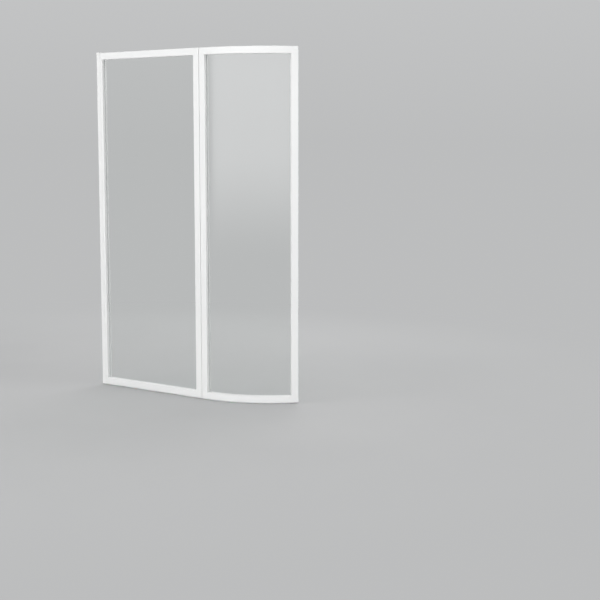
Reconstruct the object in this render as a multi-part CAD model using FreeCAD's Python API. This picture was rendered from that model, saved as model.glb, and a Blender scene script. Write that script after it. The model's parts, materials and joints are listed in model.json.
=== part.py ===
import FreeCAD, Part
import math
import os

# Bath screen of two framed glass leaves: a flat leaf held in a wall channel, and a curved leaf hinged to it.
# Millimetres. X runs from the back of the wall channel along the flat leaf, Y points to the inner side,
# where the hinge is, and Z is up.
# The origin is on the back of the wall channel, at mid depth of the frame and at the channel's foot.

Vector = FreeCAD.Vector
UP = Vector(0, 0, 1)

# The screen as a whole
screen_height = 1500.0
seam_from_wall = 594.0
seam_gap = 2.0
rim_gap = 5.0
bend_radius = 454.0
bend_angle = 47.2

# Frame member, one extrusion for both leaves: from its outer edge to the sight line, and through its depth
member_face = 30.0
member_depth = 28.0
member_wall = 1.8
outer_radius = 3.0
sight_radius = 1.2
mitre_gap = 0.2

# Seal groove in the outer edge of a member, with a narrower mouth
groove_width = 9.0
groove_depth = 4.6
groove_mouth = 5.0

# Glass and the gasket that beds it in the glazing slot
glass_thickness = 4.0
glass_bite = 8.0
slot_width = 9.0
slot_depth = 10.6
gasket_fit = 0.1
gasket_lip = 1.5
glass_fit = 0.05

# Wall channel, with the flat leaf pushed into it
channel_base = 1.5
channel_wall = 1.5
channel_reach = 19.0
channel_radius = 1.0
channel_lip_radius = 0.5
channel_fit = 0.3
seat_gap = 0.5
wall_hole_radius = 2.5
wall_hole_count = 4
wall_hole_inset = 60.0

# Cap on the head of the wall channel
cap_plate = 1.5
cap_skirt = 1.2
cap_drop = 10.0
cap_fit = 0.1

# Screws that lock the flat leaf in the channel, and their covers
lock_screw_count = 3
lock_screw_inset = 150.0
lock_shank_radius = 1.75
lock_head_radius = 3.5
lock_head_height = 2.2
lock_screw_bite = 9.0
lock_recess_radius = 1.5
lock_recess_depth = 1.3
cover_wall = 1.0
cover_round = 0.5
cover_fit = 0.4

# Corner keys inside the mitred corners, and their countersunk screws
key_fit = 0.2
key_leg = 27.0
key_screw_from_end = 4.5
screw_shank_radius = 1.5
screw_head_radius = 2.7
screw_head_height = 1.3
screw_length = 9.0
screw_fit = 0.1
socket_radius = 1.1
socket_depth = 0.9

# Fold hinge on the inner side: knuckles on both stiles round one pin
knuckle_count = 7
knuckle_wall = 1.45
knuckle_standoff = 0.5
knuckle_gap = 1.2
web_reach = 12.0
hinge_inset = 40.0
pin_radius = 3.0
pin_fit = 0.05
pin_overhang = 2.0
pin_cap_height = 3.5
pin_cap_round = 1.2
pin_cap_fit = 0.2
washer_thickness = 1.0

# Seals: a head in the groove, a neck through its mouth, and what shows outside
seal_fit = 0.2
sill_width = 16.0
sill_thickness = 1.2
fin_width = 1.0
fin_spacing = 11.0
fin_lift = 0.4
bead_width = 6.0
bead_clearance = 0.3
seal_end_gap = 0.5

# Cutting solids run past the faces that they cut by this much
overcut = 1.0

# Places and sizes that follow from the values above
half_depth = member_depth / 2
half_seam = seam_gap / 2
frame_bottom = 0.0
frame_top = screen_height
slot_floor = member_face - slot_depth
glass_edge = member_face - glass_bite
groove_back = groove_depth + member_wall
key_near = groove_back + key_fit
key_far = slot_floor - member_wall - key_fit
key_middle = (key_near + key_far) / 2
key_screw_reach = key_leg - key_screw_from_end
channel_inside = half_depth + channel_fit
channel_outside = channel_inside + channel_wall
leaf_edge = channel_base + seat_gap
lock_screw_x = (leaf_edge + channel_reach) / 2
bore_radius = pin_radius + pin_fit
knuckle_radius = bore_radius + knuckle_wall
hinge_y = half_depth + knuckle_standoff + knuckle_radius
hinge_bottom = frame_bottom + hinge_inset
hinge_top = frame_top - hinge_inset
knuckle_length = (hinge_top - hinge_bottom - (knuckle_count - 1) * knuckle_gap) / knuckle_count
knuckle_pitch = knuckle_length + knuckle_gap
head_end_trim = groove_back + seal_end_gap


def polygon(points):
    """Flat face in the XY plane from its corners."""
    ring = [Vector(x, y, 0) for x, y in points]
    return Part.Face(Part.makePolygon(ring + ring[:1]))


def rectangle(x0, x1, y0, y1):
    return polygon([(x0, y0), (x1, y0), (x1, y1), (x0, y1)])


def rounded(corners):
    """Flat face in the XY plane whose corners are (x, y, radius)."""
    points = [Vector(x, y, 0) for x, y, radius in corners]
    arcs = []
    for i, (x, y, radius) in enumerate(corners):
        here = points[i]
        back = (points[i - 1] - here).normalize()
        ahead = (points[(i + 1) % len(points)] - here).normalize()
        half_angle = back.getAngle(ahead) / 2
        setback = radius / math.tan(half_angle)
        inward = (back + ahead).normalize()
        crown = here + inward * (radius / math.sin(half_angle) - radius)
        arcs.append(Part.Arc(here + back * setback, crown, here + ahead * setback))
    edges = []
    for i, arc in enumerate(arcs):
        edges.append(Part.LineSegment(arcs[i - 1].EndPoint, arc.StartPoint).toShape())
        edges.append(arc.toShape())
    return Part.Face(Part.Wire(edges))


def rail_section(face, edge_z, upward):
    """Section turned to run along X: its outer edge at height edge_z, its sight line above or below."""
    turned = face.copy()
    turn = FreeCAD.Rotation(Vector(0, 1, 0), -90 if upward else 90)
    turned.Placement = FreeCAD.Placement(Vector(0, 0, edge_z), turn)
    return turned


def evenly(count, first, last):
    return [first + i * (last - first) / (count - 1) for i in range(count)]


def member_section(mouth):
    """Hollow section of a frame member: X from its outer edge to the sight line, Y through its depth."""
    side = half_depth - member_wall
    far = member_face - member_wall
    groove_side = groove_width / 2 + member_wall
    slot_side = slot_width / 2 + member_wall
    slot_back = slot_floor - member_wall
    outside = rounded(
        [
            (0, -half_depth, outer_radius),
            (member_face, -half_depth, sight_radius),
            (member_face, half_depth, sight_radius),
            (0, half_depth, outer_radius),
        ]
    )
    hollow = polygon(
        [
            (member_wall, side),
            (far, side),
            (far, slot_side),
            (slot_back, slot_side),
            (slot_back, -slot_side),
            (far, -slot_side),
            (far, -side),
            (member_wall, -side),
            (member_wall, -groove_side),
            (groove_back, -groove_side),
            (groove_back, groove_side),
            (member_wall, groove_side),
        ]
    )
    slot = rectangle(slot_floor, member_face + overcut, -slot_width / 2, slot_width / 2)
    groove = rectangle(member_wall, groove_depth, -groove_width / 2, groove_width / 2)
    openings = [hollow, slot, groove]
    if mouth:
        openings.append(rectangle(-overcut, member_wall, -mouth / 2, mouth / 2))
    return outside.cut(openings).Faces[0]


class Corner:
    """A corner of a leaf. Distances s along the leaf and z in height run inward from its two outer edges."""

    def __init__(self, frame, along, upward):
        self.frame = frame
        self.along = along
        self.upward = upward

    def point(self, s, v, z):
        return self.frame.multVec(Vector(self.along * s, v, self.upward * z))

    def prism(self, outline, half_width):
        ring = [self.point(s, -half_width, z) for s, z in outline]
        face = Part.Face(Part.makePolygon(ring + ring[:1]))
        return face.extrude(self.outward() * (2 * half_width))

    def outward(self):
        """Direction through the depth, towards the inner side of the screen."""
        return self.frame.Rotation.multVec(Vector(0, 1, 0))

    def mitre(self, for_rail):
        """Cutter for the part of the corner square that belongs to the other member."""
        step = mitre_gap / math.sqrt(2)
        low = -overcut
        high = member_face + overcut
        outline = [(low + step, low), (high + step, high), (low, high), (low, low)]
        if not for_rail:
            outline = [(z, s) for s, z in outline]
        return self.prism(outline, half_depth + overcut)


class Leaf:
    """A leaf's line in plan at mid depth: straight and curved runs, each a (length, radius)."""

    def __init__(self, start_x, runs):
        self.start_x = start_x
        self.runs = runs

    def frames(self, trim=0.0):
        """Placement at the start of each run and at the end of the last one, with X along the run."""
        found = [FreeCAD.Placement(Vector(self.start_x + trim, 0, 0), FreeCAD.Rotation())]
        for length, radius in self.trimmed(trim):
            step = Vector(length, 0, 0)
            turn = 0.0
            if radius:
                turn = length / radius
                step = Vector(radius * math.sin(turn), radius * (1 - math.cos(turn)), 0)
            found.append(found[-1] * FreeCAD.Placement(step, FreeCAD.Rotation(UP, math.degrees(turn))))
        return found

    def trimmed(self, trim):
        runs = list(self.runs)
        for i in (0, -1):
            length, radius = runs[i]
            runs[i] = (length - trim, radius)
        return runs

    def sweep(self, section, trim=0.0):
        """Solid of a section in the YZ plane, carried along the leaf and cut back at both ends."""
        pieces = []
        for frame, (length, radius) in zip(self.frames(trim), self.trimmed(trim)):
            if radius:
                piece = section.revolve(Vector(0, radius, 0), UP, math.degrees(length / radius))
            else:
                piece = section.extrude(Vector(length, 0, 0))
            piece.Placement = frame * piece.Placement
            pieces.append(piece)
        return joined(pieces)

    def slab(self, half_width, trim):
        """Upright slab along the leaf, set in by trim from the frame's outer edge all round."""
        section = rail_section(
            rectangle(0, frame_top - frame_bottom - 2 * trim, -half_width, half_width),
            frame_bottom + trim,
            True,
        )
        return self.sweep(section, trim)

    def corners(self):
        """Corners in the order start bottom, start top, end bottom, end top."""
        found = []
        frames = self.frames()
        for frame, along in ((frames[0], 1), (frames[-1], -1)):
            for height, upward in ((frame_bottom, 1), (frame_top, -1)):
                lift = FreeCAD.Placement(Vector(0, 0, height), FreeCAD.Rotation())
                found.append(Corner(lift * frame, along, upward))
        return found

    def stile(self, at_end, mouth):
        """Upright member at one end of the leaf, mitred at both of its ends."""
        frame = self.frames()[-1 if at_end else 0]
        bar = member_section(mouth).extrude(Vector(0, 0, frame_top - frame_bottom))
        turn = FreeCAD.Rotation(UP, 180 if at_end else 0)
        bar.Placement = frame * FreeCAD.Placement(Vector(0, 0, frame_bottom), turn)
        ends = self.corners()[2:] if at_end else self.corners()[:2]
        return bar.cut([corner.mitre(False) for corner in ends] + [screw_hole(c, True) for c in ends])

    def rail(self, at_top, mouth):
        """Level member at the top or bottom of the leaf, mitred at both of its ends."""
        section = rail_section(
            member_section(mouth), frame_top if at_top else frame_bottom, not at_top
        )
        bar = self.sweep(section)
        ends = self.corners()[1::2] if at_top else self.corners()[0::2]
        return bar.cut([corner.mitre(True) for corner in ends] + [screw_hole(c, False) for c in ends])

    def glass(self):
        return self.slab(glass_thickness / 2, glass_edge)

    def gasket(self):
        """One loop of channel gasket round the edge of the glass, with a lip past the sight line."""
        body = self.slab(slot_width / 2 - gasket_fit, slot_floor + gasket_fit)
        window = self.slab(slot_width / 2 + overcut, member_face + gasket_lip)
        bed = self.slab(glass_thickness / 2 + glass_fit, glass_edge - glass_fit)
        return body.cut([window, bed])

    def keys(self):
        outline = [
            (key_near, key_near),
            (key_leg, key_near),
            (key_leg, key_far),
            (key_far, key_far),
            (key_far, key_leg),
            (key_near, key_leg),
        ]
        half_width = half_depth - member_wall - key_fit
        found = []
        for corner in self.corners():
            holes = [screw_hole(corner, True), screw_hole(corner, False)]
            found.append(corner.prism(outline, half_width).cut(holes))
        return found

    def key_screws(self):
        return [corner_screw(corner, stile) for corner in self.corners() for stile in (True, False)]

    def bottom_seal(self, start_trim):
        """Groove head, a sill under the rail and two fins below it; the head is cut short at the start."""
        section, head = bottom_seal_sections()
        seal = joined([self.sweep(section, seal_end_gap), self.sweep(head, head_end_trim)])
        if start_trim:
            section = rectangle(0, frame_top, -member_depth, member_depth)
            seal = seal.cut(rail_section(section, 0, True).extrude(Vector(self.start_x + start_trim, 0, 0)))
        return seal


def joined(pieces):
    if len(pieces) == 1:
        return pieces[0]
    return pieces[0].multiFuse(pieces[1:]).removeSplitter()


def far_rim(body, seat, away):
    """The edge of a round body that lies farthest from its seat."""
    return max(body.Edges, key=lambda edge: (edge.CenterOfMass - seat).dot(away))


def countersunk(top, direction, grow):
    """Countersunk screw whose head is flush at a point; grow makes the hole that it goes through."""
    cone = Part.makeCone(
        screw_head_radius + grow, screw_shank_radius + grow, screw_head_height, top, direction
    )
    shank = Part.makeCylinder(screw_shank_radius + grow, screw_length + grow, top, direction)
    return joined([cone, shank])


def screw_place(corner, in_stile):
    """Head of a corner screw on the inner side, over the key's upright or level leg."""
    s, z = (key_middle, key_screw_reach) if in_stile else (key_screw_reach, key_middle)
    return corner.point(s, half_depth, z)


def screw_hole(corner, in_stile):
    return countersunk(screw_place(corner, in_stile), -corner.outward(), screw_fit)


def corner_screw(corner, in_stile):
    top = screw_place(corner, in_stile)
    inward = -corner.outward()
    socket = Part.makeCylinder(socket_radius, socket_depth, top, inward)
    return countersunk(top, inward, 0.0).cut(socket)


def bottom_seal_sections():
    """What hangs below the rail, and the head that sits in its groove."""
    sill_top = -seal_fit / 2
    sill = rectangle(sill_top - sill_thickness, sill_top, -sill_width / 2, sill_width / 2)
    fins = []
    for side in (-1, 1):
        middle = side * fin_spacing / 2
        fin = rectangle(fin_lift - rim_gap, sill_top, middle - fin_width / 2, middle + fin_width / 2)
        fins.append(fin)
    below = joined([sill] + fins).Faces[0]
    head = seal_head(sill_top)
    return rail_section(below, frame_bottom, True), rail_section(head, frame_bottom, True)


def seal_head(neck_end):
    """Section of a seal's T-shaped head, from inside the groove out to neck_end."""
    half_head = groove_width / 2 - seal_fit
    half_neck = groove_mouth / 2 - seal_fit
    shoulder = member_wall + seal_fit
    crown = groove_depth - seal_fit
    return polygon(
        [
            (neck_end, -half_neck),
            (shoulder, -half_neck),
            (shoulder, -half_head),
            (crown, -half_head),
            (crown, half_head),
            (shoulder, half_head),
            (shoulder, half_neck),
            (neck_end, half_neck),
        ]
    )


def seam_seal():
    """Strip in the lead stile's groove, with a bead that closes the seam between the leaves."""
    bead_tip = bead_clearance - seam_gap
    bead_root = -seal_fit / 2
    bead = rectangle(bead_tip, bead_root, -bead_width / 2, bead_width / 2)
    section = joined([seal_head(bead_root), bead]).Faces[0]
    strip = section.extrude(Vector(0, 0, frame_top - frame_bottom - 2 * head_end_trim))
    edge = Vector(seam_from_wall - half_seam, 0, frame_bottom + head_end_trim)
    strip.Placement = FreeCAD.Placement(edge, FreeCAD.Rotation(UP, 180))
    return strip


def knuckle(index, side):
    """One knuckle and the web that carries it. Side is -1 on the flat leaf and 1 on the curved leaf."""
    bottom = hinge_bottom + index * knuckle_pitch
    axis_foot = Vector(seam_from_wall, hinge_y, bottom)
    back_face = half_depth - hinge_y
    distance = math.hypot(web_reach, back_face)
    tangent = math.atan2(back_face, -web_reach) - math.acos(knuckle_radius / distance)
    outline = [
        (-web_reach, back_face),
        (knuckle_radius * math.cos(tangent), knuckle_radius * math.sin(tangent)),
        (0, 0),
        (-half_seam, back_face),
        (-half_seam, back_face - outer_radius),
        (-half_seam - member_wall, back_face - member_wall),
        (-web_reach, back_face - member_wall),
    ]
    web = polygon([(-side * x, y) for x, y in outline]).extrude(Vector(0, 0, knuckle_length))
    web.translate(axis_foot)
    barrel = Part.makeCylinder(knuckle_radius, knuckle_length, axis_foot)
    return joined([barrel, web])


def with_knuckles(stile, first, side):
    """Hinge stile with every second knuckle, bored for the pin."""
    knuckles = [knuckle(index, side) for index in range(first, knuckle_count, 2)]
    bore_foot = Vector(seam_from_wall, hinge_y, frame_bottom)
    bore = Part.makeCylinder(bore_radius, frame_top - frame_bottom, bore_foot)
    return joined([stile] + knuckles).cut(bore)


def hinge_washers():
    found = []
    for index in range(knuckle_count - 1):
        gap_bottom = hinge_bottom + index * knuckle_pitch + knuckle_length
        lift = gap_bottom + (knuckle_gap - washer_thickness) / 2
        foot = Vector(seam_from_wall, hinge_y, lift)
        ring = Part.makeCylinder(knuckle_radius, washer_thickness, foot)
        found.append(ring.cut(Part.makeCylinder(bore_radius, washer_thickness, foot)))
    return found


def hinge_pin():
    foot = Vector(seam_from_wall, hinge_y, hinge_bottom - pin_overhang)
    return Part.makeCylinder(pin_radius, hinge_top - hinge_bottom + 2 * pin_overhang, foot)


def hinge_pin_caps():
    """Press-on caps at both ends of the pin, closed and rounded at the outside."""
    found = []
    for height, away in ((hinge_bottom, -1), (hinge_top, 1)):
        foot = Vector(seam_from_wall, hinge_y, height)
        body = Part.makeCylinder(knuckle_radius, pin_cap_height, foot, UP * away)
        body = body.makeFillet(pin_cap_round, [far_rim(body, foot, UP * away)])
        room = Part.makeCylinder(bore_radius, pin_overhang + pin_cap_fit, foot, UP * away)
        found.append(body.cut(room))
    return found


def lock_screw_heights():
    return evenly(lock_screw_count, frame_bottom + lock_screw_inset, frame_top - lock_screw_inset)


def lock_hole(height, grow):
    """Shank of a lock screw, from the outside of the channel into the wall stile."""
    top = Vector(lock_screw_x, channel_outside, height)
    return Part.makeCylinder(lock_shank_radius + grow, lock_screw_bite + grow, top, Vector(0, -1, 0))


def lock_screws():
    found = []
    for height in lock_screw_heights():
        top = Vector(lock_screw_x, channel_outside + lock_head_height, height)
        head = Part.makeCylinder(lock_head_radius, lock_head_height, top, Vector(0, -1, 0))
        recess = Part.makeCylinder(lock_recess_radius, lock_recess_depth, top, Vector(0, -1, 0))
        found.append(joined([head, lock_hole(height, 0.0)]).cut(recess))
    return found


def lock_screw_covers():
    """Shallow round caps that snap over the lock screws' heads."""
    found = []
    inner_radius = lock_head_radius + cover_fit
    inner_height = lock_head_height + cover_fit
    for height in lock_screw_heights():
        seat = Vector(lock_screw_x, channel_outside, height)
        out = Vector(0, 1, 0)
        body = Part.makeCylinder(inner_radius + cover_wall, inner_height + cover_wall, seat, out)
        body = body.makeFillet(cover_round, [far_rim(body, seat, out)])
        found.append(body.cut(Part.makeCylinder(inner_radius, inner_height, seat, out)))
    return found


def wall_channel():
    """U channel, open to the leaf, with a row of fixing holes in its base."""
    outside = rounded(
        [
            (0, -channel_outside, channel_radius),
            (channel_reach, -channel_outside, channel_lip_radius),
            (channel_reach, channel_outside, channel_lip_radius),
            (0, channel_outside, channel_radius),
        ]
    )
    inside = rectangle(channel_base, channel_reach + overcut, -channel_inside, channel_inside)
    body = outside.cut(inside).Faces[0].extrude(Vector(0, 0, screen_height))
    holes = [lock_hole(height, screw_fit) for height in lock_screw_heights()]
    for height in evenly(wall_hole_count, wall_hole_inset, screen_height - wall_hole_inset):
        foot = Vector(-overcut, 0, height)
        holes.append(Part.makeCylinder(wall_hole_radius, channel_base + 2 * overcut, foot, Vector(1, 0, 0)))
    return body.cut(holes)


def wall_channel_cap():
    """Cap over the head of the channel, with a skirt down both flanks."""
    outer = channel_outside + cap_fit + cap_skirt
    inner = channel_outside + cap_fit
    shell = rectangle(-cap_drop, cap_plate, -outer, outer)
    room = rectangle(-cap_drop - overcut, 0, -inner, inner)
    section = rail_section(shell.cut(room).Faces[0], screen_height, True)
    return section.extrude(Vector(channel_reach, 0, 0))


def save(name, *solids):
    shape = solids[0] if len(solids) == 1 else Part.makeCompound(list(solids))
    shape.exportStep(f"parts/{name}.step")


os.makedirs("parts", exist_ok=True)

flat = Leaf(leaf_edge, [(seam_from_wall - half_seam - leaf_edge, 0)])
curved = Leaf(
    seam_from_wall + half_seam,
    [(member_face, 0), (bend_radius * math.radians(bend_angle), bend_radius), (member_face, 0)],
)

# Wall channel and what holds the flat leaf in it
save("wall_channel", wall_channel())
save("wall_channel_cap", wall_channel_cap())
save("lock_screws", *lock_screws())
save("lock_screw_covers", *lock_screw_covers())

# Flat leaf
wall_stile_holes = [lock_hole(height, screw_fit) for height in lock_screw_heights()]
save("flat_wall_stile", flat.stile(False, groove_width).cut(wall_stile_holes))
save("flat_lead_stile", with_knuckles(flat.stile(True, groove_mouth), 0, -1))
save("flat_top_rail", flat.rail(True, 0))
save("flat_bottom_rail", flat.rail(False, groove_mouth))
save("flat_glass", flat.glass())
save("flat_glazing_gasket", flat.gasket())
save("flat_corner_keys", *flat.keys())
save("flat_corner_screws", *flat.key_screws())
save("flat_bottom_seal", flat.bottom_seal(channel_reach))
save("fold_seam_seal", seam_seal())

# Fold hinge
save("fold_hinge_pin", hinge_pin())
save("fold_hinge_washers", *hinge_washers())
save("fold_hinge_pin_caps", *hinge_pin_caps())

# Curved leaf
save("curved_hinge_stile", with_knuckles(curved.stile(False, 0), 1, 1))
save("curved_end_stile", curved.stile(True, 0))
save("curved_top_rail", curved.rail(True, 0))
save("curved_bottom_rail", curved.rail(False, groove_mouth))
save("curved_glass", curved.glass())
save("curved_glazing_gasket", curved.gasket())
save("curved_corner_keys", *curved.keys())
save("curved_corner_screws", *curved.key_screws())
save("curved_bottom_seal", curved.bottom_seal(0))
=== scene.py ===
import json
import math

import bmesh
import bpy
from mathutils import Matrix, Vector

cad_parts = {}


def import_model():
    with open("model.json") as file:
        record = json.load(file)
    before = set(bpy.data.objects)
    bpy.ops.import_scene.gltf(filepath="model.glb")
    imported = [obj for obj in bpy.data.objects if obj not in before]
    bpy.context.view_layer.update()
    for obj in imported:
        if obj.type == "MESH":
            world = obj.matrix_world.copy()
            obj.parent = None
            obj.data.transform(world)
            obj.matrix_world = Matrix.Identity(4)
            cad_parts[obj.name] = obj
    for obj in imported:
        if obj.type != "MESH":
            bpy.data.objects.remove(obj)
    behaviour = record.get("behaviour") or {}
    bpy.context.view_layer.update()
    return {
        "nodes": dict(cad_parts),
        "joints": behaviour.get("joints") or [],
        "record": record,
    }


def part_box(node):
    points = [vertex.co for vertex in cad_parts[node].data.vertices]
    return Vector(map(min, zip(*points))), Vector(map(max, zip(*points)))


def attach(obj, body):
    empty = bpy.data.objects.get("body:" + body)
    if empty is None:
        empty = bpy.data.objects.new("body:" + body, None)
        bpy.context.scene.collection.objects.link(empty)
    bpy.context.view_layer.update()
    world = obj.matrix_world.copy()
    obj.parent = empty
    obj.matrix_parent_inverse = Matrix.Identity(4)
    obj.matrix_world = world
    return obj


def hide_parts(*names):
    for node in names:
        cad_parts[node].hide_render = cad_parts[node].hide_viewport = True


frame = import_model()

# Bath screen of two framed glass leaves: its finishes and finer shapes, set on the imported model.
# Metres. X runs from the back of the wall channel along the flat leaf, Y points to the inner side,
# where the hinge is, and Z is up.

MM = 0.001

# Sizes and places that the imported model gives; the hinge stands over the seam between the leaves
seam_x = frame["joints"][0]["pos_m"][0]
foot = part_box("wall_channel")[0].z
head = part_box("wall_channel")[1].z
leaf_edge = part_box("flat_wall_stile")[0].x
half_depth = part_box("flat_top_rail")[1].y
member_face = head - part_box("flat_top_rail")[0].z
glass_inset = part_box("flat_glass")[0].x - leaf_edge
glass_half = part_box("flat_glass")[1].y
gasket_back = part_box("flat_glazing_gasket")[0].x - leaf_edge
gasket_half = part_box("flat_glazing_gasket")[1].y
sill_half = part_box("flat_bottom_seal")[1].y
fin_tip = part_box("flat_bottom_seal")[0].z - foot

# The leaves in plan, with the bend drawn in short straight steps that begin just inside its ends
HALF_SEAM = 1.0 * MM
BEND_RADIUS = 454.0 * MM
BEND_ANGLE = math.radians(47.2)
BEND_STEPS = 72
BEND_STEP_IN = 2.0 * MM

# Frame member, with a seal groove in its outer edge that has a narrower mouth
MEMBER_WALL = 1.8 * MM
OUTER_RADIUS = 3.0 * MM
SIGHT_RADIUS = 1.2 * MM
MITRE_SETBACK = 0.14 * MM
GROOVE_HALF = 4.5 * MM
GROOVE_DEPTH = 4.6 * MM
MOUTH_HALF = 2.5 * MM

# Glass, and the gasket that beds it in the glazing slot, with a lip past the sight line
GLASS_ARRIS = 0.4 * MM
GLASS_FIT = 0.05 * MM
SLOT_FIT = 0.1 * MM
LIP_REACH = 1.5 * MM
LIP_RADIUS = 1.4 * MM
GASKET_EDGE_RADIUS = 0.3 * MM

# Bottom seal: heights are measured from the foot of the rail
SEAL_END_GAP = 0.5 * MM
SEAL_NECK_TOP = 0.3 * MM
SEAL_NECK_HALF = 2.3 * MM
SILL_TOP = -0.1 * MM
SILL_UNDER = -1.3 * MM
SILL_RADIUS = 0.5 * MM
FIN_MIDDLE = 5.5 * MM
FIN_ROOT_HALF = 0.55 * MM
FIN_TIP_HALF = 0.22 * MM
FIN_SPLAY = 1.9 * MM
FIN_STEPS = 6

# Corner screws, two at each corner on the inner side, with a cross recess that tapers
SCREW_NEAR = 12.0 * MM
SCREW_FAR = 22.5 * MM
SCREW_HEAD_RADIUS = 2.7 * MM
SCREW_HEAD_HEIGHT = 1.3 * MM
SCREW_SHANK_RADIUS = 1.5 * MM
SCREW_LENGTH = 9.0 * MM
SCREW_RIM = 0.15 * MM
SCREW_FIT = 0.1 * MM
CROSS_SPAN = 1.75 * MM
CROSS_HALF = 0.34 * MM
CROSS_DEPTH = 0.9 * MM
CROSS_TAPER = 0.45

# Covers of the lock screws
COVER_COUNT = 3
COVER_RADIUS = 4.9 * MM
COVER_SHOULDER = 2.4 * MM
DOME_STEPS = 7

# Cap of the wall channel
CAP_SKIRT = 1.2 * MM
CAP_PLATE = 1.5 * MM
CAP_SOFTENING = 0.5 * MM
CAP_SOFTENING_STEPS = 3

# Arcs in outlines, turned pieces and shading
ARC_STEPS = 6
TURN_STEPS = 48
SHARP_ANGLE = math.radians(34.0)

# Most values of a noise lie in this span
NOISE_LOW = 0.3
NOISE_HIGH = 0.7

# Camera, from the vanishing points and edges of the picture
CAMERA_PLACE = Vector((4.1292, -4.1906, 1.1121))
CAMERA_TURN = math.radians(35.7689)
CAMERA_DIP = math.radians(7.1235)
CAMERA_LENS = 76.591
CAMERA_SENSOR = 36.0

# Stage: a floor just under the fins, which fades into the backdrop between two distances
FLOOR_DROP = 5.0 * MM
FLOOR_RADIUS = 60.0
FLOOR_SIDES = 96
FLOOR_LOW = (0.51, 0.515, 0.519)
FLOOR_HIGH = (0.533, 0.537, 0.54)
FADE_START = 0.7
FADE_END = 3.0
BACKDROP_LOW = (0.505, 0.51, 0.514)
BACKDROP_HIGH = (0.59, 0.595, 0.6)
BACKDROP_RISE = 0.25
WHITE = (1.0, 1.0, 1.0)
AMBIENT = 0.41

# A lamp's face runs from 0 to 1 both ways, and dims over a share of it towards its edges
FACE_HALF = 0.5
FEATHER = 0.4

# Key lamps: name, place, the point that they face, and power
KEY_WIDTH = 3.4
KEY_HEIGHT = 2.4
KEY_LAMPS = (
    ("left_key", (-0.8, -3.2, 3.8), (0.35, 0.0, 0.8), 138.0),
    ("right_key", (4.6, 0.2, 2.8), (0.9, 0.1, 0.75), 118.0),
    ("back_key", (-0.6, 3.4, 3.8), (0.5, 0.0, 0.8), 112.0),
)

# Low lamps in a row in front, which the bent pane mirrors, and in a like row behind
ROW_CENTRE = Vector((0.8, 0.0, 1.0))
ROW_DISTANCE = 5.0
ROW_RISE = 0.35
ROW_ANGLES = (-21.0, 3.0, 27.0, 51.0)
ROW_LAMP_WIDTH = 3.6
ROW_LAMP_HEIGHT = 2.5
ROW_LAMP_POWER = 90.0


# Shapes


def evenly(count, first, last):
    """Numbers spaced evenly from first to last."""
    return [first + i * (last - first) / (count - 1) for i in range(count)]


class Leaf:
    """A leaf's line in plan at mid depth: straight, or a straight lead, a bend and a straight end."""

    def __init__(self, body, start, lead, bend_radius=0.0, bend_angle=0.0):
        self.body = body
        self.start = start
        self.lead = lead
        self.bend_radius = bend_radius
        self.bend_angle = bend_angle
        self.length = lead
        if bend_angle:
            self.length = 2 * lead + bend_radius * bend_angle

    def heading(self, s):
        """Angle of the line at distance s along it."""
        if not self.bend_angle:
            return 0.0
        return min(max((s - self.lead) / self.bend_radius, 0.0), self.bend_angle)

    def place(self, s, v, z):
        """Point at distance s along the line, v towards the inner side and height z."""
        turn = self.heading(s)
        radius = self.bend_radius - v
        past = s - self.lead - turn * self.bend_radius
        x = self.start + self.lead + radius * math.sin(turn) + past * math.cos(turn)
        y = self.bend_radius - radius * math.cos(turn) + past * math.sin(turn)
        return Vector((x, y, z))

    def inward(self, s):
        """Direction towards the inner side at distance s."""
        turn = self.heading(s)
        return Vector((-math.sin(turn), math.cos(turn), 0.0))

    def stations(self):
        """Distances along the bend between which it is drawn straight."""
        if not self.bend_angle:
            return []
        return evenly(BEND_STEPS + 1, self.lead + BEND_STEP_IN, self.length - self.lead - BEND_STEP_IN)

    def ring(self, inset, v):
        """Loop round the leaf, set in from the frame's outer edge: the foot, then back along the head."""
        run = [inset] + self.stations() + [self.length - inset]
        low = [self.place(s, v, foot + inset) for s in run]
        high = [self.place(s, v, head - inset) for s in reversed(run)]
        return low + high


def rounded(corners):
    """Outline of (x, y, radius) corners, with each radius drawn as a short row of points."""
    outline = []
    for i, (x, y, radius) in enumerate(corners):
        here = Vector((x, y))
        if not radius:
            outline.append(here)
            continue
        back = (Vector(corners[i - 1][:2]) - here).normalized()
        ahead = (Vector(corners[(i + 1) % len(corners)][:2]) - here).normalized()
        half_angle = back.angle(ahead) / 2
        centre = here + (back + ahead).normalized() * (radius / math.sin(half_angle))
        first = here + back * (radius / math.tan(half_angle)) - centre
        last = here + ahead * (radius / math.tan(half_angle)) - centre
        sweep = first.angle_signed(last)
        for step in evenly(ARC_STEPS + 1, 0.0, 1.0):
            outline.append(centre + Matrix.Rotation(-sweep * step, 2) @ first)
    return outline


def mirrored(half):
    """Corners of a symmetric outline from those on its positive side."""
    return half + [(x, -y, radius) for x, y, radius in reversed(half)]


def finished(name, bm):
    """Object from a bmesh, shaded smooth with sharp edges kept sharp."""
    bmesh.ops.recalc_face_normals(bm, faces=bm.faces)
    mesh = bpy.data.meshes.new(name)
    bm.to_mesh(mesh)
    bm.free()
    mesh.shade_smooth()
    mesh.set_sharp_from_angle(angle=SHARP_ANGLE)
    piece = bpy.data.objects.new(name, mesh)
    bpy.context.scene.collection.objects.link(piece)
    return piece


def with_flat_faces(piece):
    """The piece, with its flat faces shaded flat beside round ones."""
    modifier = piece.modifiers.new("flats", "WEIGHTED_NORMAL")
    modifier.keep_sharp = True
    return piece


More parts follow.
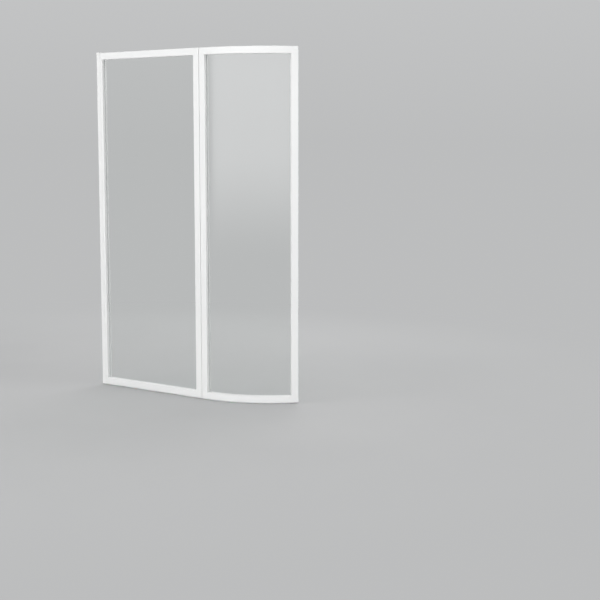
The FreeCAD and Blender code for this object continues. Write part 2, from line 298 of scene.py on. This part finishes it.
def skin(bm, lines, lines_close, outline_closes):
    """Faces between neighbouring lines of points. Returns the rows of vertices."""
    rows = [[bm.verts.new(point) for point in line] for line in lines]
    pairs = list(zip(rows, rows[1:]))
    if outline_closes:
        pairs.append((rows[-1], rows[0]))
    for one, other in pairs:
        count = len(one)
        for i in range(count if lines_close else count - 1):
            j = (i + 1) % count
            bm.faces.new((one[i], one[j], other[j], other[i]))
    return rows


def bar(lines):
    """Bmesh of a bar from the lines that run along it, closed by a face at each end."""
    bm = bmesh.new()
    rows = skin(bm, lines, lines_close=False, outline_closes=True)
    bm.faces.new([row[0] for row in rows])
    bm.faces.new([row[-1] for row in rows])
    return bm


def swept(name, leaf, outline, edge, upward, end_gap, mitred):
    """Bar along a leaf. The outline is (height from the edge, depth); mitred ends lean back with height."""
    lines = []
    for u, v in outline:
        inset = end_gap + u if mitred else end_gap
        run = [inset] + leaf.stations() + [leaf.length - inset]
        lines.append([leaf.place(s, v, edge + upward * u) for s in run])
    return with_flat_faces(finished(name, bar(lines)))


def turned(bm, profile, matrix):
    """Solid of revolution about Z from (radius, height) points, both ends on the axis."""
    lines = []
    for step in range(TURN_STEPS):
        angle = 2 * math.pi * step / TURN_STEPS
        across = Vector((math.cos(angle), math.sin(angle), 0.0))
        line = [across * radius + Vector((0.0, 0.0, height)) for radius, height in profile[1:-1]]
        lines.append([matrix @ point for point in line])
    rows = skin(bm, lines, lines_close=False, outline_closes=True)
    for end in (0, -1):
        tip = bm.verts.new(matrix @ Vector((0.0, 0.0, profile[end][1])))
        for one, other in zip(rows, rows[1:] + rows[:1]):
            bm.faces.new((one[end], other[end], tip))


def facing(direction, place):
    """Matrix that turns +Z to a direction and moves the origin to a place."""
    turn = direction.to_track_quat("Z", "X").to_matrix().to_4x4()
    return Matrix.Translation(place) @ turn


def cut_away(piece, tool):
    """Cuts a tool object out of a piece and removes the tool. Returns the piece."""
    modifier = piece.modifiers.new("cut", "BOOLEAN")
    modifier.operation = "DIFFERENCE"
    modifier.solver = "EXACT"
    modifier.object = tool
    piece.modifiers.move(len(piece.modifiers) - 1, 0)
    bpy.context.view_layer.update()
    graph = bpy.context.evaluated_depsgraph_get()
    cut = bpy.data.meshes.new_from_object(piece.evaluated_get(graph))
    piece.modifiers.clear()
    piece.data = cut
    bpy.data.objects.remove(tool)
    cut.shade_smooth()
    cut.set_sharp_from_angle(angle=SHARP_ANGLE)
    return with_flat_faces(piece)


# Pieces


def pane(name, leaf):
    """Sheet of glass with its edges arrised all round."""
    soft = glass_inset + GLASS_ARRIS
    flat_half = glass_half - GLASS_ARRIS
    profile = [
        (soft, -glass_half),
        (glass_inset, -flat_half),
        (glass_inset, flat_half),
        (soft, glass_half),
    ]
    bm = bmesh.new()
    rings = [leaf.ring(inset, v) for inset, v in profile]
    rows = skin(bm, rings, lines_close=True, outline_closes=False)
    for row in (rows[0], rows[-1]):
        last = len(row) - 1
        for i in range(len(row) // 2 - 1):
            bm.faces.new((row[i], row[i + 1], row[last - i - 1], row[last - i]))
    return with_flat_faces(finished(name, bm))


def gasket(name, leaf):
    """One loop of channel gasket, with a rounded lip on both sides of the glass."""
    bed_half = glass_half + GLASS_FIT
    lip = member_face + LIP_REACH
    half = [
        (glass_inset - GLASS_FIT, bed_half, 0.0),
        (lip, bed_half, GASKET_EDGE_RADIUS),
        (lip, gasket_half, LIP_RADIUS),
        (gasket_back, gasket_half, GASKET_EDGE_RADIUS),
    ]
    bm = bmesh.new()
    rings = [leaf.ring(inset, v) for inset, v in rounded(mirrored(half))]
    skin(bm, rings, lines_close=True, outline_closes=True)
    return with_flat_faces(finished(name, bm))


def member_outline(with_groove):
    """Frame member from outside: the glazing slot, and the seal groove where the member has one."""
    slot_floor = gasket_back - SLOT_FIT
    slot_half = gasket_half + SLOT_FIT
    half = [
        (slot_floor, slot_half, 0.0),
        (member_face, slot_half, 0.0),
        (member_face, half_depth, SIGHT_RADIUS),
        (0.0, half_depth, OUTER_RADIUS),
    ]
    if with_groove:
        half += [
            (0.0, MOUTH_HALF, 0.0),
            (MEMBER_WALL, MOUTH_HALF, 0.0),
            (MEMBER_WALL, GROOVE_HALF, 0.0),
            (GROOVE_DEPTH, GROOVE_HALF, 0.0),
        ]
    return rounded(mirrored(half))


def bent_rail(name, leaf, at_top):
    """Top or bottom rail of a bent leaf, with the countersunk holes of its corner screws."""
    edge, upward = (head, -1) if at_top else (foot, 1)
    rail = swept(name, leaf, member_outline(not at_top), edge, upward, MITRE_SETBACK, mitred=True)
    return cut_away(rail, screw_tools(leaf))


def screw_places(leaf):
    """Distance along the leaf and point on the inner face, for all eight corner screws."""
    found = []
    for near, far in ((SCREW_NEAR, SCREW_FAR), (SCREW_FAR, SCREW_NEAR)):
        for s in (near, leaf.length - near):
            for z in (foot + far, head - far):
                found.append((s, leaf.place(s, half_depth, z)))
    return found


def turned_at_screws(name, leaf, profile):
    """One object of like turned solids at all corner screws, with heights from the inner face."""
    bm = bmesh.new()
    for s, place in screw_places(leaf):
        turned(bm, profile, facing(leaf.inward(s), place))
    return finished(name, bm)


def screw_tools(leaf):
    """Countersunk holes for the corner screws, as one cutting object."""
    rim = SCREW_HEAD_RADIUS + SCREW_FIT
    shank = SCREW_SHANK_RADIUS + SCREW_FIT
    profile = [
        (0.0, SCREW_FIT),
        (rim, SCREW_FIT),
        (rim, 0.0),
        (shank, -SCREW_HEAD_HEIGHT),
        (shank, -SCREW_LENGTH),
        (0.0, -SCREW_LENGTH),
    ]
    return turned_at_screws("screw_holes", leaf, profile)


def cross_tools(leaf):
    """Cross recesses of the corner screws, as one cutting object of crosses that taper with depth."""
    arm = ((CROSS_HALF, -CROSS_HALF), (CROSS_SPAN, -CROSS_HALF), (CROSS_SPAN, CROSS_HALF))
    outline = []
    for quarter in range(4):
        turn = Matrix.Rotation(quarter * math.pi / 2, 3, "Z")
        outline += [turn @ Vector((x, y, 0.0)) for x, y in arm]
    over = Vector((0.0, 0.0, SCREW_FIT))
    under = Vector((0.0, 0.0, -CROSS_DEPTH))
    bm = bmesh.new()
    for s, place in screw_places(leaf):
        matrix = facing(leaf.inward(s), place)
        top = [matrix @ (point + over) for point in outline]
        low = [matrix @ (point * CROSS_TAPER + under) for point in outline]
        for row in skin(bm, [top, low], lines_close=True, outline_closes=False):
            bm.faces.new(row)
    return finished("screw_recesses", bm)


def corner_screws(name, leaf):
    """Countersunk screws, flush with the inner face, with a cross recess."""
    profile = [
        (0.0, 0.0),
        (SCREW_HEAD_RADIUS - SCREW_RIM, 0.0),
        (SCREW_HEAD_RADIUS, -SCREW_RIM),
        (SCREW_SHANK_RADIUS, -SCREW_HEAD_HEIGHT),
        (SCREW_SHANK_RADIUS, -SCREW_LENGTH),
        (0.0, -SCREW_LENGTH),
    ]
    return cut_away(turned_at_screws(name, leaf, profile), cross_tools(leaf))


def bottom_seal(name, leaf):
    """Seal under a rail: a neck, a sill with rounded edges and two fins that splay and thin downwards."""
    fin_outside = []
    fin_inside = []
    for t in evenly(FIN_STEPS + 1, 0.0, 1.0):
        height = SILL_UNDER + t * (fin_tip - SILL_UNDER)
        middle = FIN_MIDDLE + FIN_SPLAY * t * t
        half_width = FIN_ROOT_HALF + t * (FIN_TIP_HALF - FIN_ROOT_HALF)
        fin_outside.append((height, middle + half_width, 0.0))
        fin_inside.insert(0, (height, middle - half_width, 0.0))
    half = [
        (SEAL_NECK_TOP, SEAL_NECK_HALF, 0.0),
        (SILL_TOP, SEAL_NECK_HALF, 0.0),
        (SILL_TOP, sill_half, SILL_RADIUS),
        (SILL_UNDER, sill_half, SILL_RADIUS),
    ]
    outline = rounded(mirrored(half + fin_outside + fin_inside))
    return swept(name, leaf, outline, foot, 1, SEAL_END_GAP, mitred=False)


def lock_screw_covers(name):
    """Snap-on covers with a domed face, on the inner flank of the wall channel."""
    low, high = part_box("lock_screw_covers")
    dome_rise = high.y - low.y - COVER_SHOULDER
    dome = [
        (COVER_RADIUS * math.cos(angle), COVER_SHOULDER + dome_rise * math.sin(angle))
        for angle in evenly(DOME_STEPS + 1, 0.0, math.pi / 2)
    ]
    profile = [(0.0, 0.0), (COVER_RADIUS, 0.0)] + dome
    middle = (low.x + high.x) / 2
    bm = bmesh.new()
    for height in evenly(COVER_COUNT, low.z + COVER_RADIUS, high.z - COVER_RADIUS):
        turned(bm, profile, facing(Vector((0.0, 1.0, 0.0)), Vector((middle, low.y, height))))
    return finished(name, bm)


def channel_cap(name):
    """Cap over the head of the wall channel, its edges softened as moulded."""
    low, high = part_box("wall_channel_cap")
    inner = high.y - CAP_SKIRT
    under = high.z - CAP_PLATE
    outline = [
        (-high.y, low.z),
        (-inner, low.z),
        (-inner, under),
        (inner, under),
        (inner, low.z),
        (high.y, low.z),
        (high.y, high.z),
        (-high.y, high.z),
    ]
    lines = [[Vector((x, y, z)) for x in (low.x, high.x)] for y, z in outline]
    piece = finished(name, bar(lines))
    soften = piece.modifiers.new("soften", "BEVEL")
    soften.width = CAP_SOFTENING
    soften.segments = CAP_SOFTENING_STEPS
    soften.limit_method = "ANGLE"
    return with_flat_faces(piece)


# Finishes


class Nodes:
    """Short calls that build a tree of shader nodes."""

    def __init__(self, tree):
        self.tree = tree

    def put(self, socket, value):
        """Links another node's output to a socket, or sets a constant on it. Colours are opaque."""
        if isinstance(value, bpy.types.NodeSocket):
            self.tree.links.new(value, socket)
        elif socket.type == "RGBA":
            socket.default_value = (*value, 1.0)
        else:
            socket.default_value = value

    def add(self, kind, *inputs, **named_inputs):
        """New node, with its inputs in order or by name, with _ for a blank."""
        node = self.tree.nodes.new("ShaderNode" + kind)
        for socket, value in zip(node.inputs, inputs):
            self.put(socket, value)
        for name, value in named_inputs.items():
            self.put(node.inputs[name.replace("_", " ")], value)
        return node

    def number(self, operation, *inputs):
        """Result of a Math node."""
        node = self.add("Math", *inputs)
        node.operation = operation
        return node.outputs["Value"]

    def span(self, value, start, end, low=0.0, high=1.0, curve="LINEAR"):
        """Number that goes from low to high as a value goes from start to end."""
        node = self.add("MapRange", value, From_Min=start, From_Max=end, To_Min=low, To_Max=high)
        node.interpolation_type = curve
        return node.outputs["Result"]

    def ramp(self, value, start, end, low, high):
        """Colour that goes from low to high as a value goes from start to end."""
        node = self.add("ValToRGB", value)
        for stop, place, colour in zip(node.color_ramp.elements, (start, end), (low, high)):
            stop.position = place
            stop.color = (*colour, 1.0)
        return node.outputs["Color"]

    def mix(self, share, first, second):
        """Shader that goes from the first to the second as a share goes from 0 to 1."""
        return self.add("MixShader", share, first, second).outputs["Shader"]

    def seen_or_mirrored(self):
        """1 for rays that show the background to the camera, straight, in a mirror or through glass."""
        ray = self.add("LightPath").outputs
        seen = self.number("MAXIMUM", ray["Is Camera Ray"], ray["Is Glossy Ray"])
        return self.number("MAXIMUM", seen, ray["Is Transmission Ray"])


class Finish(Nodes):
    """A material with one Principled shader and procedural patterns in object space."""

    def __init__(self, name):
        self.material = bpy.data.materials.new(name)
        self.material.use_nodes = True
        super().__init__(self.material.node_tree)
        self.shader = self.tree.nodes["Principled BSDF"]
        self.place = self.add("TexCoord").outputs["Object"]

    def set(self, **values):
        """Constant values on the shader's own sockets, by name with _ for a blank."""
        for name, value in values.items():
            self.put(self.shader.inputs[name.replace("_", " ")], value)

    def noise(self, size, detail, squeeze=None):
        """Noise whose features are about this size, finer or coarser along axes that are squeezed."""
        place = self.place
        if squeeze:
            place = self.add("Mapping", Vector=place, Scale=squeeze).outputs["Vector"]
        return self.add("TexNoise", Vector=place, Scale=1.0 / size, Detail=detail).outputs["Fac"]

    def colour(self, drift, low, high, detail=2.0):
        """Base colour that drifts between two colours, over about this distance."""
        factor = self.noise(drift, detail)
        colour = self.ramp(factor, NOISE_LOW, NOISE_HIGH, low, high)
        self.put(self.shader.inputs["Base Color"], colour)

    def roughness(self, grain, low, high, detail=3.0):
        """Roughness between two values, in patches of about this size."""
        factor = self.noise(grain, detail)
        rough = self.span(factor, NOISE_LOW, NOISE_HIGH, low, high)
        self.put(self.shader.inputs["Roughness"], rough)

    def bump(self, grain, depth, squeeze=None, detail=2.0):
        """Relief of this depth, with features of about this size."""
        height = self.noise(grain, detail, squeeze)
        bump = self.add("Bump", Strength=1.0, Distance=depth, Height=height)
        self.put(self.shader.inputs["Normal"], bump.outputs["Normal"])

    def show(self, shader):
        """Shows this shader in place of the Principled one alone."""
        self.put(self.tree.nodes["Material Output"].inputs["Surface"], shader)


def white_lacquer():
    """Satin stove lacquer: a close white with a fine orange peel and slight drift in sheen."""
    finish = Finish("white_lacquer")
    finish.colour(drift=350 * MM, low=(0.845, 0.85, 0.85), high=(0.875, 0.878, 0.872))
    finish.roughness(grain=20 * MM, low=0.38, high=0.47, detail=4.0)
    finish.bump(grain=1.8 * MM, depth=0.01 * MM)
    finish.set(IOR=1.5, Coat_Weight=0.06, Coat_Roughness=0.15)
    return finish.material


def white_plastic():
    """Moulded plastic, a little warmer and glossier than the lacquer."""
    finish = Finish("white_plastic")
    finish.colour(drift=50 * MM, low=(0.83, 0.835, 0.82), high=(0.865, 0.865, 0.85))
    finish.roughness(grain=4 * MM, low=0.2, high=0.3)
    finish.bump(grain=0.6 * MM, depth=0.01 * MM)
    finish.set(IOR=1.46)
    return finish.material


def clear_glass():
    """Clear glass with a faint green cast, which lets light through to what lies in its shadow."""
    finish = Finish("clear_glass")
    finish.colour(drift=600 * MM, low=(0.947, 0.959, 0.953), high=(0.954, 0.964, 0.959))
    finish.set(IOR=1.5, Roughness=0.0, Transmission_Weight=1.0)
    shadow_tint = (0.9, 0.92, 0.912)
    let_through = finish.add("BsdfTransparent", Color=shadow_tint).outputs["BSDF"]
    in_shadow = finish.add("LightPath").outputs["Is Shadow Ray"]
    finish.show(finish.mix(in_shadow, finish.shader.outputs["BSDF"], let_through))
    return finish.material


def glazing_rubber():
    """Pale extruded gasket, matt and finely grained."""
    finish = Finish("glazing_rubber")
    finish.colour(drift=30 * MM, low=(0.75, 0.757, 0.757), high=(0.81, 0.815, 0.813))
    finish.roughness(grain=3 * MM, low=0.5, high=0.65)
    finish.bump(grain=0.7 * MM, depth=0.03 * MM)
    return finish.material


def soft_seal():
    """Soft pale seal, slightly translucent, with a waxy sheen."""
    finish = Finish("soft_seal")
    finish.colour(drift=25 * MM, low=(0.66, 0.665, 0.665), high=(0.73, 0.735, 0.73))
    finish.roughness(grain=4 * MM, low=0.38, high=0.52)
    finish.bump(grain=0.9 * MM, depth=0.03 * MM)
    finish.set(Subsurface_Weight=0.15, Subsurface_Scale=2 * MM)
    return finish.material


def steel():
    """Stainless steel with a fine grain that runs level."""
    finish = Finish("steel")
    finish.colour(drift=10 * MM, low=(0.58, 0.58, 0.57), high=(0.66, 0.655, 0.645))
    finish.roughness(grain=1.2 * MM, low=0.2, high=0.34, detail=4.0)
    finish.bump(grain=0.3 * MM, depth=0.008 * MM, squeeze=(1.0, 1.0, 4.0))
    finish.set(Metallic=1.0)
    return finish.material


def key_aluminium():
    """Bare sawn aluminium with saw marks through its depth."""
    finish = Finish("key_aluminium")
    finish.colour(drift=10 * MM, low=(0.66, 0.665, 0.675), high=(0.75, 0.755, 0.765))
    finish.roughness(grain=2 * MM, low=0.32, high=0.48)
    finish.bump(grain=0.8 * MM, depth=0.03 * MM, squeeze=(1.0, 0.1, 1.0))
    finish.set(Metallic=1.0)
    return finish.material


def nylon():
    """Natural nylon, slightly translucent."""
    finish = Finish("nylon")
    finish.colour(drift=4 * MM, low=(0.74, 0.735, 0.7), high=(0.8, 0.795, 0.77))
    finish.roughness(grain=1 * MM, low=0.4, high=0.5, detail=2.0)
    finish.bump(grain=0.5 * MM, depth=0.01 * MM)
    finish.set(Subsurface_Weight=0.2, Subsurface_Scale=1 * MM)
    return finish.material


# Stage


def world():
    """Plain grey surroundings, lighter above, and an even white light on the object."""
    studio = bpy.data.worlds.new("studio")
    bpy.context.scene.world = studio
    studio.use_nodes = True
    studio.node_tree.nodes.clear()
    nodes = Nodes(studio.node_tree)
    direction = nodes.add("TexCoord").outputs["Generated"]
    rise = nodes.add("SeparateXYZ", direction).outputs["Z"]
    backdrop = nodes.ramp(rise, 0.0, BACKDROP_RISE, BACKDROP_LOW, BACKDROP_HIGH)
    shown = nodes.add("Background", Color=backdrop).outputs["Background"]
    light = nodes.add("Background", Color=WHITE, Strength=AMBIENT).outputs["Background"]
    nodes.add("OutputWorld", Surface=nodes.mix(nodes.seen_or_mirrored(), light, shown))


def floor_finish():
    """Pale matt floor that fades into the surroundings some way from the object."""
    finish = Finish("floor")
    finish.colour(drift=900 * MM, low=FLOOR_LOW, high=FLOOR_HIGH, detail=3.0)
    finish.roughness(grain=50 * MM, low=0.85, high=0.95)
    finish.set(Specular_IOR_Level=0.0)
    distance = finish.add("VectorMath", finish.place)
    distance.operation = "LENGTH"
    fade = finish.span(distance.outputs["Value"], FADE_START, FADE_END, curve="SMOOTHERSTEP")
    share = finish.number("MULTIPLY", fade, finish.seen_or_mirrored())
    far = finish.add("Emission", Color=BACKDROP_LOW).outputs["Emission"]
    finish.show(finish.mix(share, finish.shader.outputs["BSDF"], far))
    return finish.material


def floor():
    """Wide round floor that the screen stands over."""
    bm = bmesh.new()
    bmesh.ops.create_circle(bm, cap_ends=True, radius=FLOOR_RADIUS, segments=FLOOR_SIDES)
    ground = finished("floor", bm)
    ground.location.z = foot - FLOOR_DROP
    ground.data.materials.append(floor_finish())


def feather(lamp):
    """Lets a lamp's face dim smoothly towards its edges, so that its mirror image has none."""
    lamp.use_nodes = True
    nodes = Nodes(lamp.node_tree)
    face = nodes.add("NewGeometry").outputs["Parametric"]
    across = nodes.add("SeparateXYZ", face).outputs
    shares = []
    for axis in ("X", "Y"):
        from_middle = nodes.number("SUBTRACT", across[axis], FACE_HALF)
        away = nodes.number("ABSOLUTE", from_middle)
        shares.append(nodes.span(away, FACE_HALF, FACE_HALF - FEATHER, curve="SMOOTHSTEP"))
    strength = nodes.number("MULTIPLY", *shares)
    nodes.put(nodes.tree.nodes["Emission"].inputs["Strength"], strength)


def softbox(name, place, target, width, height, power):
    """Soft lamp that shows only as light and in mirrors."""
    lamp = bpy.data.lights.new(name, "AREA")
    lamp.shape = "RECTANGLE"
    lamp.size = width
    lamp.size_y = height
    lamp.energy = power
    feather(lamp)
    holder = bpy.data.objects.new(name, lamp)
    bpy.context.scene.collection.objects.link(holder)
    holder.location = place
    holder.rotation_mode = "QUATERNION"
    holder.rotation_quaternion = (Vector(target) - Vector(place)).to_track_quat("-Z", "Y")
    holder.visible_camera = False
    holder.visible_transmission = False


def low_row(name, turn):
    """Row of low lamps on one side, so close together that their feathered edges meet."""
    for number, degrees in enumerate(ROW_ANGLES):
        angle = math.radians(degrees + turn)
        way = Vector((math.sin(angle), -math.cos(angle), 0.0))
        place = ROW_CENTRE + ROW_DISTANCE * way + Vector((0.0, 0.0, ROW_RISE))
        softbox(f"{name}_{number}", place, ROW_CENTRE, ROW_LAMP_WIDTH, ROW_LAMP_HEIGHT, ROW_LAMP_POWER)


def camera():
    """Camera at the picture's viewing angle."""
    lens = bpy.data.cameras.new("camera")
    lens.lens = CAMERA_LENS
    lens.sensor_width = CAMERA_SENSOR
    lens.clip_end = 2 * FLOOR_RADIUS
    holder = bpy.data.objects.new("camera", lens)
    bpy.context.scene.collection.objects.link(holder)
    holder.location = CAMERA_PLACE
    holder.rotation_euler = (math.pi / 2 - CAMERA_DIP, 0.0, CAMERA_TURN)
    bpy.context.scene.camera = holder


# The dressed screen


def dress(piece, body, slot, node):
    """Puts a new piece on its body with the finish of its slot, in place of a CAD node."""
    piece.data.materials.clear()
    piece.data.materials.append(finishes[slot])
    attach(piece, body)
    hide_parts(node)


finishes = {
    "white_lacquer": white_lacquer(),
    "white_plastic": white_plastic(),
    "clear_glass": clear_glass(),
    "glazing_rubber": glazing_rubber(),
    "soft_seal": soft_seal(),
    "steel": steel(),
    "key_aluminium": key_aluminium(),
    "nylon": nylon(),
}
for subpart in frame["record"]["subparts"]:
    for holder in frame["nodes"][subpart["node"]].material_slots:
        holder.material = finishes[subpart["material_slot"]]

flat = Leaf("fixed_screen", leaf_edge, seam_x - HALF_SEAM - leaf_edge)
curved = Leaf("curved_leaf", seam_x + HALF_SEAM, member_face, BEND_RADIUS, BEND_ANGLE)
leaves = {"flat": flat, "curved": curved}

for side, leaf in leaves.items():
    dress(pane(f"{side}_pane", leaf), leaf.body, "clear_glass", f"{side}_glass")
    dress(gasket(f"{side}_gasket_loop", leaf), leaf.body, "glazing_rubber", f"{side}_glazing_gasket")
    dress(corner_screws(f"{side}_screws", leaf), leaf.body, "steel", f"{side}_corner_screws")
for end in ("top", "bottom"):
    rail = bent_rail(f"curved_{end}_bar", curved, end == "top")
    dress(rail, curved.body, "white_lacquer", f"curved_{end}_rail")
for side, leaf in leaves.items():
    dress(bottom_seal(f"{side}_seal_strip", leaf), leaf.body, "soft_seal", f"{side}_bottom_seal")
dress(lock_screw_covers("screw_covers"), flat.body, "white_plastic", "lock_screw_covers")
dress(channel_cap("channel_cap"), flat.body, "white_plastic", "wall_channel_cap")

world()
floor()
for name, place, target, power in KEY_LAMPS:
    softbox(name, place, target, KEY_WIDTH, KEY_HEIGHT, power)
low_row("front", 0.0)
low_row("back", 180.0)
camera()
bpy.context.scene.view_settings.view_transform = "Standard"
